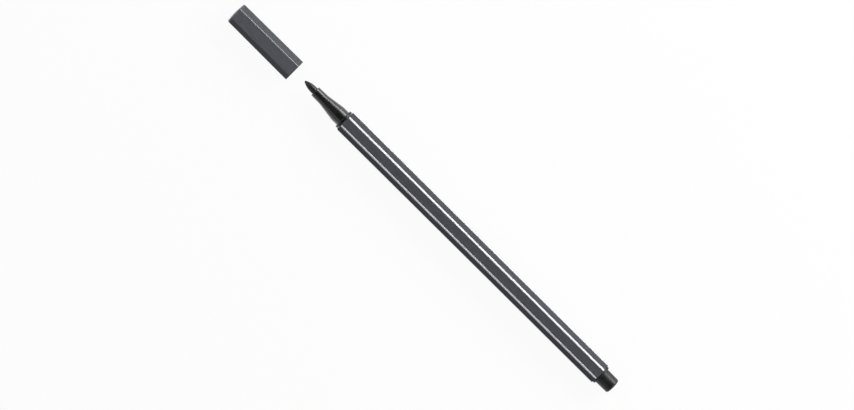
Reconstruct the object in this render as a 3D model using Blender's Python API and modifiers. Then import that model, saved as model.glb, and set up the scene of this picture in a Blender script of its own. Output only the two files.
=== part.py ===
"""Felt-tip pen with a hexagonal barrel, its cap pulled off and lying ahead of the nib.

The pen lies along X with its nib towards -X, and Z is up. X = 0 is the middle of the barrel,
and Z = 0 is the barrel's lower flat. Every piece is modelled upright about its own Z axis,
with the nib end up, and is laid down by the empty that carries it. Lengths are in metres.
"""

import math

import bmesh
import bpy

MM = 0.001

# Fibre nib: a rod with a round-nosed ogive at the front and a tapered tail in the reservoir.
NIB_DIAMETER = 2.72 * MM
NIB_OGIVE_LENGTH = 4.7 * MM
NIB_TIP_RADIUS = 0.45 * MM
NIB_EXPOSED = 5.12 * MM
NIB_SOAK_DEPTH = 9.0 * MM
NIB_TAIL_LENGTH = 1.6 * MM
NIB_TAIL_DIAMETER = 1.3 * MM

# Front section: the moulded nose that holds the nib and plugs the barrel.
NIB_CLEARANCE = 0.1 * MM
VENT_COUNT = 4
VENT_WIDTH = 0.5 * MM
VENT_DEPTH = 0.28 * MM
NOSE_TIP_WALL = 0.27 * MM
NOSE_TIP_GROWTH = 0.1 * MM
NOSE_TIP_LENGTH = 4.55 * MM
NOSE_EDGE_RADIUS = 0.25 * MM
NOSE_CONE_LENGTH = 6.84 * MM
NOSE_BLEND_RADIUS = 6.0 * MM
CAP_SEAT_LENGTH = 2.66 * MM
COLLAR_THICKNESS = 0.95 * MM
COLLAR_LIP = 0.05 * MM
COLLAR_EDGE_RADIUS = 0.2 * MM
NOSE_SPIGOT_LENGTH = 9.0 * MM
NOSE_SPIGOT_WALL = 0.7 * MM
NOSE_CHAMBER_DEPTH = 7.5 * MM

# Barrel: a hexagonal tube with a round bore, its corners eased at both ends.
BARREL_LENGTH = 129.64 * MM
BARREL_ACROSS_FLATS = 7.5 * MM
BARREL_WALL = 0.7 * MM
BARREL_CORNER_RADIUS = 0.6 * MM
BARREL_END_LAND = 0.35 * MM
BARREL_END_CHAMFER = 0.35 * MM
PRESS_GAP = 0.1 * MM
SEAT_GAP = 0.1 * MM
SPIGOT_LEAD_IN = 0.4 * MM

# Ink reservoir: a fibre core in a thin film sleeve, held between the nose and the plug.
RESERVOIR_CLEARANCE = 0.2 * MM
FILM_THICKNESS = 0.1 * MM
RESERVOIR_END_GAP = 0.3 * MM

# Rear plug: a hollow stopper with a flange and a round tail that the cap can be posted on.
PLUG_FLANGE_LIP = 0.05 * MM
PLUG_FLANGE_THICKNESS = 0.75 * MM
PLUG_FLANGE_EDGE = 0.2 * MM
PLUG_TAIL_LENGTH = 6.02 * MM
PLUG_TAIL_DRAFT = 0.08 * MM
PLUG_CROWN = 0.3 * MM
PLUG_EDGE_RADIUS = 0.6 * MM
PLUG_WALL = 0.9 * MM
PLUG_END_WALL = 1.2 * MM
PLUG_SPIGOT_LENGTH = 8.0 * MM
PLUG_NOTCH_COUNT = 4
PLUG_NOTCH_WIDTH = 1.2 * MM
PLUG_NOTCH_DEPTH = 1.5 * MM

# Cap: a drafted hexagonal shell with a pressed-in cup that seals round the nose.
CAP_CLEARANCE = 0.1 * MM
CAP_WALL = 0.67 * MM
CAP_DRAFT = math.radians(0.24)
CAP_CORNER_RADIUS = 0.6 * MM
CAP_RIM_RADIUS = 0.65 * MM
CAP_CROWN = 0.2 * MM
CAP_END_WALL = 1.2 * MM
CAP_END_SPACE = 7.1 * MM
CAP_LEAD_IN = 0.25 * MM
CAP_STEP = 0.345 * MM
CAP_STEP_LENGTH = 1.0 * MM
CAP_SHOULDER = 0.5 * MM
CAP_STOP_GAP = 0.3 * MM
CAP_PULL = 24.1 * MM
SEAL_CLEARANCE = 0.12 * MM
SEAL_WALL = 0.55 * MM
SEAL_GRIP = 3.5 * MM
SEAL_LIP_RADIUS = 0.2 * MM
SEAL_ROOM = 2.0 * MM
SEAL_FLOOR = 0.6 * MM

# Cutters run this far past the faces that they open.
OVERSHOOT = 1.0 * MM

# How finely round shapes are divided.
TURN_STEPS = 48
ARC_STEPS = 4
OGIVE_STEPS = 12
CROWN_STEPS = 3
HEX_SIDES = 6
SHARP_ANGLE = math.radians(20)
MERGE_DISTANCE = 0.001 * MM

# Radii that follow from the fits, from the nib outwards.
NIB_RADIUS = NIB_DIAMETER / 2
NIB_BORE = NIB_RADIUS + NIB_CLEARANCE
NOSE_TIP_FRONT = NIB_BORE + VENT_DEPTH + NOSE_TIP_WALL
NOSE_TIP_BASE = NOSE_TIP_FRONT + NOSE_TIP_GROWTH
SEAL_BORE = NOSE_TIP_BASE + SEAL_CLEARANCE
SEAL_OUTER = SEAL_BORE + SEAL_WALL
CAP_SEAL_BORE = SEAL_OUTER + PRESS_GAP
CAP_BORE = CAP_SEAL_BORE + CAP_STEP
CAP_SEAT = CAP_BORE - CAP_CLEARANCE
CAP_MOUTH_FLATS = 2 * (CAP_BORE + CAP_WALL)
BARREL_BORE = BARREL_ACROSS_FLATS / 2 - BARREL_WALL
SPIGOT_RADIUS = BARREL_BORE - PRESS_GAP
FILM_OUTER = BARREL_BORE - RESERVOIR_CLEARANCE
FILM_INNER = FILM_OUTER - FILM_THICKNESS
CORE_RADIUS = FILM_INNER - PRESS_GAP

# Heights along the pen, measured towards the nib from the middle of the barrel.
BARREL_FRONT = BARREL_LENGTH / 2
COLLAR_BACK = BARREL_FRONT + SEAT_GAP
COLLAR_FRONT = COLLAR_BACK + COLLAR_THICKNESS
NOSE_LENGTH = CAP_SEAT_LENGTH + NOSE_CONE_LENGTH + NOSE_TIP_LENGTH
NOSE_FRONT = COLLAR_FRONT + NOSE_LENGTH
NIB_APEX = NOSE_FRONT + NIB_EXPOSED
NOSE_SPIGOT_END = COLLAR_BACK - NOSE_SPIGOT_LENGTH
PLUG_FLANGE_FRONT = -BARREL_FRONT - SEAT_GAP
PLUG_SPIGOT_END = PLUG_FLANGE_FRONT + PLUG_SPIGOT_LENGTH
RESERVOIR_FRONT = NOSE_SPIGOT_END - RESERVOIR_END_GAP
RESERVOIR_BACK = PLUG_SPIGOT_END + RESERVOIR_END_GAP
NIB_TAIL_END = RESERVOIR_FRONT - NIB_SOAK_DEPTH

# Depths inside the cap, measured from its mouth towards its closed end.
NOSE_REACH = NOSE_LENGTH - CAP_STOP_GAP
SEAL_LIP_DEPTH = NOSE_REACH - SEAL_GRIP
SEAL_CAVITY_DEPTH = NOSE_REACH + NIB_EXPOSED + SEAL_ROOM
SEAL_BACK_DEPTH = SEAL_CAVITY_DEPTH + SEAL_FLOOR
CAP_SHOULDER_DEPTH = SEAL_BACK_DEPTH + PRESS_GAP
CAP_POCKET_DEPTH = CAP_SHOULDER_DEPTH + CAP_END_SPACE
CAP_LENGTH = CAP_POCKET_DEPTH + CAP_END_WALL
CAP_MOUTH = COLLAR_FRONT + CAP_STOP_GAP + CAP_PULL

# Colours as 8-bit screen values, read from the photograph or usual for the material.
ANTHRACITE = (70, 71, 76)
NOSE_BLACK = (22, 21, 24)
INKED_FIBRE = (34, 33, 37)
CORE_FIBRE = (52, 52, 58)
CLEAR_FILM = (205, 208, 212)
NATURAL_SEAL = (222, 222, 218)

# How rough each surface is, from 0 for a mirror to 1 for chalk.
BARREL_ROUGHNESS = 0.42
CAP_ROUGHNESS = 0.38
NOSE_ROUGHNESS = 0.3
PLUG_ROUGHNESS = 0.35
NIB_ROUGHNESS = 0.85
CORE_ROUGHNESS = 0.9
FILM_ROUGHNESS = 0.2
SEAL_ROUGHNESS = 0.5


def remove_everything():
    """Empty the scene before building."""
    for obj in list(bpy.data.objects):
        bpy.data.objects.remove(obj, do_unlink=True)


def new_collection(name):
    """Make a collection in the scene."""
    collection = bpy.data.collections.new(name)
    bpy.context.scene.collection.children.link(collection)
    return collection


def linear(value):
    """Turn one 8-bit screen value into scene-linear light."""
    share = value / 255
    if share <= 0.04045:
        return share / 12.92
    return ((share + 0.055) / 1.055) ** 2.4


def plain_material(name, colour, roughness):
    """Make a Principled material of one colour."""
    material = bpy.data.materials.new(name)
    material.use_nodes = True
    shader = material.node_tree.nodes["Principled BSDF"]
    shader.inputs["Base Color"].default_value = (*(linear(c) for c in colour), 1.0)
    shader.inputs["Roughness"].default_value = roughness
    shader.inputs["Metallic"].default_value = 0.0
    material.diffuse_color = shader.inputs["Base Color"].default_value[:]
    return material


def axis_empty(name, collection, along):
    """An empty on the pen's axis whose +Z points at the nib end, at a distance from mid-barrel."""
    empty = bpy.data.objects.new(name, None)
    empty.location = (-along, 0.0, BARREL_ACROSS_FLATS / 2)
    empty.rotation_euler = (0.0, -math.pi / 2, 0.0)
    empty.empty_display_size = BARREL_ACROSS_FLATS
    collection.objects.link(empty)
    return empty


def new_object(name, mesh, collection, carrier, material=None):
    """Put a mesh in the scene on the empty that carries it."""
    obj = bpy.data.objects.new(name, mesh)
    obj.parent = carrier
    if material:
        mesh.materials.append(material)
    collection.objects.link(obj)
    return obj


def as_cutter(obj):
    """Mark an object as a cutter: seen as wire and left out of renders."""
    obj.hide_render = True
    obj.display_type = "WIRE"
    return obj


def cut(piece, tool, operation="DIFFERENCE"):
    """Cut a piece with a cutter, or keep only what lies inside the cutter."""
    modifier = piece.modifiers.new(tool.name, "BOOLEAN")
    modifier.operation = operation
    modifier.solver = "EXACT"
    modifier.object = tool


def rounded(corners, closed=False):
    """Turn (radius, height, fillet) corners into points, with an arc at each filleted corner."""
    points = []
    count = len(corners)
    for index, (r, z, fillet) in enumerate(corners):
        inner = closed or 0 < index < count - 1
        if not fillet or not inner:
            points.append((r, z))
            continue
        before = corners[index - 1]
        after = corners[(index + 1) % count]
        points.extend(fillet_arc(before, (r, z), after, fillet))
    return points


def fillet_arc(before, corner, after, fillet):
    """Points of the arc that rounds one corner, kept within half of each side."""
    side_a = (before[0] - corner[0], before[1] - corner[1])
    side_b = (after[0] - corner[0], after[1] - corner[1])
    length_a = math.hypot(*side_a)
    length_b = math.hypot(*side_b)
    unit_a = (side_a[0] / length_a, side_a[1] / length_a)
    unit_b = (side_b[0] / length_b, side_b[1] / length_b)
    opening = math.acos(max(-1.0, min(1.0, unit_a[0] * unit_b[0] + unit_a[1] * unit_b[1])))
    tangent = min(fillet / math.tan(opening / 2), length_a / 2, length_b / 2)
    radius = tangent * math.tan(opening / 2)
    reach = radius / math.sin(opening / 2)
    bisector = (unit_a[0] + unit_b[0], unit_a[1] + unit_b[1])
    bisector_length = math.hypot(*bisector)
    centre = (
        corner[0] + bisector[0] / bisector_length * reach,
        corner[1] + bisector[1] / bisector_length * reach,
    )
    start_point = (corner[0] + unit_a[0] * tangent, corner[1] + unit_a[1] * tangent)
    end_point = (corner[0] + unit_b[0] * tangent, corner[1] + unit_b[1] * tangent)
    start = math.atan2(start_point[1] - centre[1], start_point[0] - centre[0])
    end = math.atan2(end_point[1] - centre[1], end_point[0] - centre[0])
    turn = (end - start + math.pi) % (2 * math.pi) - math.pi
    return arc(centre, radius, start, start + turn, ARC_STEPS)


def arc(centre, radius, start, end, steps):
    """Evenly spaced points on a circular arc in the profile plane."""
    points = []
    for step in range(steps + 1):
        angle = start + (end - start) * step / steps
        points.append((centre[0] + radius * math.cos(angle), centre[1] + radius * math.sin(angle)))
    return points


def domed_bottom(radius, bottom, crown, edge):
    """Points from the side of a turned end, round its edge and over its crown, to the axis."""
    sphere = (radius ** 2 + crown ** 2) / (2 * crown)
    centre = bottom + sphere
    edge_r = radius - edge
    edge_z = centre - math.sqrt((sphere - edge) ** 2 - edge_r ** 2)
    slope = math.atan2(edge_z - centre, edge_r)
    side = arc((edge_r, edge_z), edge, 0.0, slope, ARC_STEPS)
    dome = arc((0.0, centre), sphere, slope, -math.pi / 2, ARC_STEPS)
    dome[-1] = (0.0, bottom)
    return side + dome[1:]


def turned(name, points, collection, carrier, material=None, closed=False):
    """Turn a profile about Z. It runs down the outer side, and a closed one comes back up inside."""
    mesh = bpy.data.meshes.new(name)
    verts = [(r, 0.0, z) for r, z in points]
    edges = [(i, i + 1) for i in range(len(verts) - 1)]
    if closed:
        edges.append((len(verts) - 1, 0))
    mesh.from_pydata(verts, edges, [])
    obj = new_object(name, mesh, collection, carrier, material)
    screw = obj.modifiers.new("turn", "SCREW")
    screw.angle = 2 * math.pi
    screw.steps = TURN_STEPS
    screw.render_steps = TURN_STEPS
    screw.use_merge_vertices = True
    screw.merge_threshold = MERGE_DISTANCE
    screw.use_smooth_shade = True
    return obj


def hex_prism(name, low_flats, high_flats, low, high, corner, collection, carrier, material,
              rim=0.0, crown=0.0):
    """A six-sided prism or frustum with rounded long edges, and a rounded crowned top if asked."""
    middle = (low + high) / 2
    corner_width = corner * math.tan(math.pi / HEX_SIDES)
    width = max(corner_width, rim)
    bm = bmesh.new()
    weight = bm.edges.layers.float.new("bevel_weight_edge")
    bmesh.ops.create_cone(
        bm, cap_ends=True, segments=HEX_SIDES, depth=high - low,
        radius1=low_flats / math.sqrt(3), radius2=high_flats / math.sqrt(3))
    bmesh.ops.translate(bm, vec=(0.0, 0.0, middle), verts=bm.verts)
    rim_verts = {vert for vert in bm.verts if vert.co.z > middle}
    long_edges = [edge for edge in bm.edges if len(rim_verts.intersection(edge.verts)) == 1]
    if crown:
        raise_crown(bm, high_flats / 2, crown)
    for edge in long_edges:
        edge[weight] = corner_width / width
    for edge in bm.edges:
        if rim_verts.issuperset(edge.verts):
            edge[weight] = rim / width
    mesh = bpy.data.meshes.new(name)
    bm.to_mesh(mesh)
    bm.free()
    mesh.shade_smooth()
    mesh.set_sharp_from_angle(angle=SHARP_ANGLE)
    obj = new_object(name, mesh, collection, carrier, material)
    bevel = obj.modifiers.new("rounded_edges", "BEVEL")
    bevel.limit_method = "WEIGHT"
    bevel.offset_type = "OFFSET"
    bevel.width = width
    bevel.segments = ARC_STEPS
    return obj


def raise_crown(bm, half_flats, crown):
    """Swell the top face into a low dome, ring by ring, along a parabola."""
    top = max(bm.faces, key=lambda face: face.calc_center_median().z)
    risen = 0.0
    for step in range(1, CROWN_STEPS):
        height = crown * (1 - (1 - step / CROWN_STEPS) ** 2)
        bmesh.ops.inset_individual(
            bm, faces=[top], thickness=half_flats / CROWN_STEPS, depth=height - risen,
            use_even_offset=True)
        risen = height
    bmesh.ops.poke(bm, faces=[top], offset=crown - risen)


def spoke_cutter(name, count, width, inner, outer, low, high, collection, carrier):
    """Blocks set round the axis like spokes, from an inner to an outer radius."""
    bm = bmesh.new()
    for index in range(count):
        angle = math.pi * (2 * index + 1) / count
        block = bmesh.ops.create_cube(bm, size=1.0)["verts"]
        bmesh.ops.scale(bm, vec=(outer - inner, width, high - low), verts=block)
        bmesh.ops.translate(bm, vec=((outer + inner) / 2, 0.0, (low + high) / 2), verts=block)
        for vert in block:
            x, y = vert.co.x, vert.co.y
            vert.co.x = x * math.cos(angle) - y * math.sin(angle)
            vert.co.y = x * math.sin(angle) + y * math.cos(angle)
    mesh = bpy.data.meshes.new(name)
    bm.to_mesh(mesh)
    bm.free()
    return as_cutter(new_object(name, mesh, collection, carrier))


def make_barrel(parts, cutters, carrier):
    """The hexagonal tube: the prism, its corners eased at the ends, then the bore."""
    material = plain_material("barrel_plastic", ANTHRACITE, BARREL_ROUGHNESS)
    barrel = hex_prism(
        "barrel", BARREL_ACROSS_FLATS, BARREL_ACROSS_FLATS, -BARREL_FRONT, BARREL_FRONT,
        BARREL_CORNER_RADIUS, parts, carrier, material)
    corner = BARREL_ACROSS_FLATS / math.sqrt(3)
    face = BARREL_ACROSS_FLATS / 2 + BARREL_END_LAND
    slope = (corner - face) / BARREL_END_CHAMFER
    clear = corner + OVERSHOOT
    envelope = [
        (0.0, BARREL_FRONT + OVERSHOOT),
        (face - slope * OVERSHOOT, BARREL_FRONT + OVERSHOOT),
        (clear, BARREL_FRONT - (clear - face) / slope),
        (clear, -BARREL_FRONT + (clear - face) / slope),
        (face - slope * OVERSHOOT, -BARREL_FRONT - OVERSHOOT),
        (0.0, -BARREL_FRONT - OVERSHOOT),
    ]
    eased_ends = as_cutter(turned("barrel_eased_ends", envelope, cutters, carrier))
    cut(barrel, eased_ends, "INTERSECT")
    bore = [
        (0.0, BARREL_FRONT + OVERSHOOT),
        (BARREL_BORE, BARREL_FRONT + OVERSHOOT),
        (BARREL_BORE, -BARREL_FRONT - OVERSHOOT),
        (0.0, -BARREL_FRONT - OVERSHOOT),
    ]
    cut(barrel, as_cutter(turned("barrel_bore", bore, cutters, carrier)))
    return barrel


def make_front_section(parts, cutters, carrier):
    """The nose: tip, cone, cap seat, collar and spigot, bored for the nib and vented beside it."""
    material = plain_material("nose_plastic", NOSE_BLACK, NOSE_ROUGHNESS)
    collar = BARREL_ACROSS_FLATS / 2 + COLLAR_LIP
    cone_back = COLLAR_FRONT + CAP_SEAT_LENGTH
    tip_back = cone_back + NOSE_CONE_LENGTH
    chamber = SPIGOT_RADIUS - NOSE_SPIGOT_WALL
    chamber_front = NOSE_SPIGOT_END + NOSE_CHAMBER_DEPTH
    corners = [
        (NOSE_TIP_FRONT, NOSE_FRONT, NOSE_EDGE_RADIUS),
        (NOSE_TIP_BASE, tip_back, NOSE_BLEND_RADIUS),
        (CAP_SEAT, cone_back, NOSE_BLEND_RADIUS),
        (CAP_SEAT, COLLAR_FRONT, 0.0),
        (collar, COLLAR_FRONT, COLLAR_EDGE_RADIUS),
        (collar, COLLAR_BACK, 0.0),
        (SPIGOT_RADIUS, COLLAR_BACK, 0.0),
        (SPIGOT_RADIUS, NOSE_SPIGOT_END + SPIGOT_LEAD_IN, 0.0),
        (SPIGOT_RADIUS - SPIGOT_LEAD_IN, NOSE_SPIGOT_END, 0.0),
        (chamber, NOSE_SPIGOT_END, 0.0),
        (chamber, chamber_front, 0.0),
        (NIB_BORE, chamber_front, 0.0),
        (NIB_BORE, NOSE_FRONT, 0.0),
    ]
    section = turned(
        "front_section", rounded(corners, closed=True), parts, carrier, material, closed=True)
    vents = spoke_cutter(
        "nose_vents", VENT_COUNT, VENT_WIDTH, NIB_RADIUS / 2, NIB_BORE + VENT_DEPTH,
        chamber_front - NOSE_CHAMBER_DEPTH / 2, NOSE_FRONT + OVERSHOOT, cutters, carrier)
    cut(section, vents)
    return section


def make_nib(parts, carrier):
    """The fibre rod: a round nose that runs into a tangent ogive, the shank and the tail."""
    material = plain_material("nib_fibre", INKED_FIBRE, NIB_ROUGHNESS)
    ogive = (NIB_RADIUS ** 2 + NIB_OGIVE_LENGTH ** 2) / (2 * NIB_RADIUS)
    offset = ogive - NIB_RADIUS
    nose_centre = math.sqrt((ogive - NIB_TIP_RADIUS) ** 2 - offset ** 2)
    shoulder = NIB_APEX - NIB_TIP_RADIUS - nose_centre
    meeting = math.atan2(nose_centre, offset)
    tip = arc((0.0, shoulder + nose_centre), NIB_TIP_RADIUS, math.pi / 2, meeting, ARC_STEPS)
    flank = arc((-offset, shoulder), ogive, meeting, 0.0, OGIVE_STEPS)
    tail = [
        (NIB_RADIUS, NIB_TAIL_END + NIB_TAIL_LENGTH),
        (NIB_TAIL_DIAMETER / 2, NIB_TAIL_END),
        (0.0, NIB_TAIL_END),
    ]
    tip[0] = (0.0, NIB_APEX)
    return turned("fibre_nib", tip[:-1] + flank + tail, parts, carrier, material)


def make_reservoir(parts, carrier):
    """The fibre core, with the pocket that the nib's tail presses into."""
    material = plain_material("core_fibre", CORE_FIBRE, CORE_ROUGHNESS)
    pocket = NIB_RADIUS + PRESS_GAP
    pocket_floor = NIB_TAIL_END - RESERVOIR_END_GAP
    profile = [
        (0.0, pocket_floor),
        (pocket, pocket_floor),
        (pocket, RESERVOIR_FRONT),
        (CORE_RADIUS, RESERVOIR_FRONT),
        (CORE_RADIUS, RESERVOIR_BACK),
        (0.0, RESERVOIR_BACK),
    ]
    return turned("ink_reservoir", profile, parts, carrier, material)


def make_film(parts, carrier):
    """The thin sleeve round the fibre core."""
    material = plain_material("clear_film", CLEAR_FILM, FILM_ROUGHNESS)
    profile = [
        (FILM_OUTER, RESERVOIR_FRONT),
        (FILM_OUTER, RESERVOIR_BACK),
        (FILM_INNER, RESERVOIR_BACK),
        (FILM_INNER, RESERVOIR_FRONT),
    ]
    return turned("reservoir_film", profile, parts, carrier, material, closed=True)


def make_rear_plug(parts, cutters, carrier):
    """The stopper: a hollow spigot with notched feet, a flange, and the round tail outside."""
    material = plain_material("plug_plastic", NOSE_BLACK, PLUG_ROUGHNESS)
    flange = BARREL_ACROSS_FLATS / 2 + PLUG_FLANGE_LIP
    flange_back = PLUG_FLANGE_FRONT - PLUG_FLANGE_THICKNESS
    tail_end = flange_back - PLUG_TAIL_LENGTH
    tail_tip = CAP_SEAT - PLUG_TAIL_DRAFT
    cavity = SPIGOT_RADIUS - PLUG_WALL
    corners = [
        (0.0, tail_end + PLUG_END_WALL, 0.0),
        (cavity, tail_end + PLUG_END_WALL, PLUG_EDGE_RADIUS),
        (cavity, PLUG_SPIGOT_END, 0.0),
        (SPIGOT_RADIUS - SPIGOT_LEAD_IN, PLUG_SPIGOT_END, 0.0),
        (SPIGOT_RADIUS, PLUG_SPIGOT_END - SPIGOT_LEAD_IN, 0.0),
        (SPIGOT_RADIUS, PLUG_FLANGE_FRONT, 0.0),
        (flange, PLUG_FLANGE_FRONT, 0.0),
        (flange, flange_back, PLUG_FLANGE_EDGE),
        (CAP_SEAT, flange_back, 0.0),
    ]
    profile = rounded(corners) + domed_bottom(tail_tip, tail_end, PLUG_CROWN, PLUG_EDGE_RADIUS)
    plug = turned("rear_plug", profile, parts, carrier, material)
    notches = spoke_cutter(
        "plug_notches", PLUG_NOTCH_COUNT, PLUG_NOTCH_WIDTH, cavity / 2, SPIGOT_RADIUS + OVERSHOOT,
        PLUG_SPIGOT_END - PLUG_NOTCH_DEPTH, PLUG_SPIGOT_END + OVERSHOOT, cutters, carrier)
    cut(plug, notches)
    return plug


def make_cap_shell(parts, cutters, carrier):
    """The cap: a drafted hexagon with a crowned end, bored in steps for the nose and the seal."""
    material = plain_material("cap_plastic", ANTHRACITE, CAP_ROUGHNESS)
    end_flats = CAP_MOUTH_FLATS - 2 * CAP_LENGTH * math.tan(CAP_DRAFT)
    shell = hex_prism(
        "cap_shell", CAP_MOUTH_FLATS, end_flats, 0.0, CAP_LENGTH - CAP_CROWN, CAP_CORNER_RADIUS,
        parts, carrier, material, rim=CAP_RIM_RADIUS, crown=CAP_CROWN)
    pocket = SEAL_OUTER - CAP_SHOULDER
    mouth = CAP_BORE + CAP_LEAD_IN
    bore = [
        (0.0, CAP_POCKET_DEPTH),
        (pocket, CAP_POCKET_DEPTH),
        (pocket, CAP_SHOULDER_DEPTH),
        (CAP_SEAL_BORE, CAP_SHOULDER_DEPTH),
        (CAP_SEAL_BORE, SEAL_LIP_DEPTH),
        (CAP_BORE, SEAL_LIP_DEPTH - CAP_STEP_LENGTH),
        (CAP_BORE, CAP_LEAD_IN),
        (mouth, 0.0),
        (mouth, -OVERSHOOT),
        (0.0, -OVERSHOOT),
    ]
    cut(shell, as_cutter(turned("cap_bore", bore, cutters, carrier)))
    return shell


def make_cap_seal(parts, carrier):
    """The inner cup that closes round the nose's tip and keeps the nib from drying."""
    material = plain_material("seal_plastic", NATURAL_SEAL, SEAL_ROUGHNESS)
    corners = [
        (0.0, SEAL_BACK_DEPTH, 0.0),
        (SEAL_OUTER, SEAL_BACK_DEPTH, SEAL_LIP_RADIUS),
        (SEAL_OUTER, SEAL_LIP_DEPTH, 0.0),
        (SEAL_BORE, SEAL_LIP_DEPTH, SEAL_LIP_RADIUS),
        (SEAL_BORE, SEAL_CAVITY_DEPTH, 0.0),
        (0.0, SEAL_CAVITY_DEPTH, 0.0),
    ]
    return turned("cap_inner_seal", rounded(corners), parts, carrier, material)


def build():
    """Build the pen and its cap."""
    remove_everything()
    parts = new_collection("felt_tip_pen")
    cutters = new_collection("cutters")
    pen_axis = axis_empty("pen_axis", parts, 0.0)
    cap_axis = axis_empty("cap_axis", parts, CAP_MOUTH)
    make_barrel(parts, cutters, pen_axis)
    make_front_section(parts, cutters, pen_axis)
    make_nib(parts, pen_axis)
    make_reservoir(parts, pen_axis)
    make_film(parts, pen_axis)
    make_rear_plug(parts, cutters, pen_axis)
    make_cap_shell(parts, cutters, cap_axis)
    make_cap_seal(parts, cap_axis)
    bpy.context.view_layer.update()


build()
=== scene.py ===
# %% [markdown]
# # A felt-tip pen with its cap pulled off
#
# The solids of this pen were made before this lesson starts. Here they are dressed: each solid
# that can be seen gets a finer piece in its place, each piece gets a material made of nodes, and the pen is
# lit and seen as in the picture that it was built from. The first cell loads the solids and keeps the size
# of their common box, because the finer pieces must stay inside it.

# %% Load the solids
import math

import bmesh
import bpy
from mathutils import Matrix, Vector


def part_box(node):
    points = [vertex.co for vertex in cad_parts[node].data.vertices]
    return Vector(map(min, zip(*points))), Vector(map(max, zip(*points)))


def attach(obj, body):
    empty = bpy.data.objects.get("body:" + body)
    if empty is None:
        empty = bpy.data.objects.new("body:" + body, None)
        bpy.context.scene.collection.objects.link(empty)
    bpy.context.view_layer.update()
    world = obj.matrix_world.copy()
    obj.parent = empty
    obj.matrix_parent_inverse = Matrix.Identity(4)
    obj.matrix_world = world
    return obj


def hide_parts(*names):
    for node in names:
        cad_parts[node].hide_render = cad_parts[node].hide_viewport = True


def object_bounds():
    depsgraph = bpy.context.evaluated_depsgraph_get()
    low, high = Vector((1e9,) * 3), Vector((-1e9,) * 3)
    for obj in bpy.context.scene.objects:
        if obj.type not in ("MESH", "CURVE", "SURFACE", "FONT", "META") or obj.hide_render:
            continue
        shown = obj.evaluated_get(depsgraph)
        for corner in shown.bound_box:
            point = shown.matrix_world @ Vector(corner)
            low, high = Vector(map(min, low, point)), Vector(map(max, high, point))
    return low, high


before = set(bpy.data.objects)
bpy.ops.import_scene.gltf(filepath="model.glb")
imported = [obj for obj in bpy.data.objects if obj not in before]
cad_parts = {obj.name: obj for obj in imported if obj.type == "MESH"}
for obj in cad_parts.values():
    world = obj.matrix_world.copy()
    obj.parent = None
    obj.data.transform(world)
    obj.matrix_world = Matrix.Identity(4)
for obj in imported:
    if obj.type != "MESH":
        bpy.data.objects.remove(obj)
solid_low, solid_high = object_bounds()
print("solids:", sorted(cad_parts))

# %% [markdown]
# ## The sizes that everything shares
#
# The pen lies along X with its nib towards -X. Its axis is half the barrel's height above the floor of the
# barrel, and the box of each solid says where its ends are. Only what a box can't tell, such as a radius or
# a rounding, is written here as a number, in millimetres.

# %% Measure the solids
MM = 0.001

barrel_low, barrel_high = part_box("barrel")
nose_low, nose_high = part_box("front_section")
nib_low, nib_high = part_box("fibre_nib")
plug_low, plug_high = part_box("rear_plug")
cap_low, cap_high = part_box("cap_shell")
seal_low, seal_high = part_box("cap_inner_seal")

AXIS_HEIGHT = (barrel_low.z + barrel_high.z) / 2
BARREL_FLATS = barrel_high.z - barrel_low.z
print(f"axis {AXIS_HEIGHT / MM:.2f} mm up, barrel {BARREL_FLATS / MM:.2f} mm across its flats")

# %% [markdown]
# ## Working by code as by hand
#
# Blender's operators act on whatever is selected. The loaded solids are still selected, so each piece starts
# by clearing the selection, and later steps pick exactly one object. In edit mode, corners and edges are
# picked by a test on their place, which does the work of clicking on them.


# %% Picking things
def pick(piece):
    """Select one object alone and make it the active one."""
    bpy.ops.object.select_all(action="DESELECT")
    piece.select_set(True)
    bpy.context.view_layer.objects.active = piece


def edit(piece):
    """Open one object in edit mode with nothing selected in it."""
    pick(piece)
    bpy.ops.object.mode_set(mode="EDIT")
    bpy.ops.mesh.select_all(action="DESELECT")


def done():
    """Leave edit mode."""
    bpy.ops.object.mode_set(mode="OBJECT")


def choose_corners(piece, test):
    """In edit mode, select the corners whose place passes a test."""
    bpy.ops.mesh.select_mode(type="VERT")
    shape = bmesh.from_edit_mesh(piece.data)
    for corner in shape.verts:
        corner.select = test(corner.co)
    shape.select_flush_mode()
    bmesh.update_edit_mesh(piece.data)


def choose_edges(piece, test):
    """In edit mode, select the edges whose two ends pass a test together."""
    bpy.ops.mesh.select_mode(type="EDGE")
    shape = bmesh.from_edit_mesh(piece.data)
    for line in shape.edges:
        line.select = test(line.verts[0].co, line.verts[1].co)
    shape.select_flush_mode()
    bmesh.update_edit_mesh(piece.data)


def choose_faces(piece, test):
    """In edit mode, select the faces whose centre and normal pass a test."""
    bpy.ops.mesh.select_mode(type="FACE")
    shape = bmesh.from_edit_mesh(piece.data)
    for face in shape.faces:
        face.select = test(face.calc_center_median(), face.normal)
    shape.select_flush_mode()
    bmesh.update_edit_mesh(piece.data)


print("picking helpers ready")

# %% [markdown]
# ## Round pieces are spun
#
# The nose, the nib, the plug and the seal cup are round, like work from a lathe. Half of the section is
# drawn as a line of edges above the axis, its corners are rounded with the bevel tool, and the line is spun
# once round the axis. A cylinder pushed and scaled ring by ring would do too, but the drawn section is easier
# to read and to change.

# %% Drawing and spinning a section
SPIN_STEPS = 96
ROUNDING_STEPS = 6
MERGE_DISTANCE = 0.001 * MM


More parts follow.
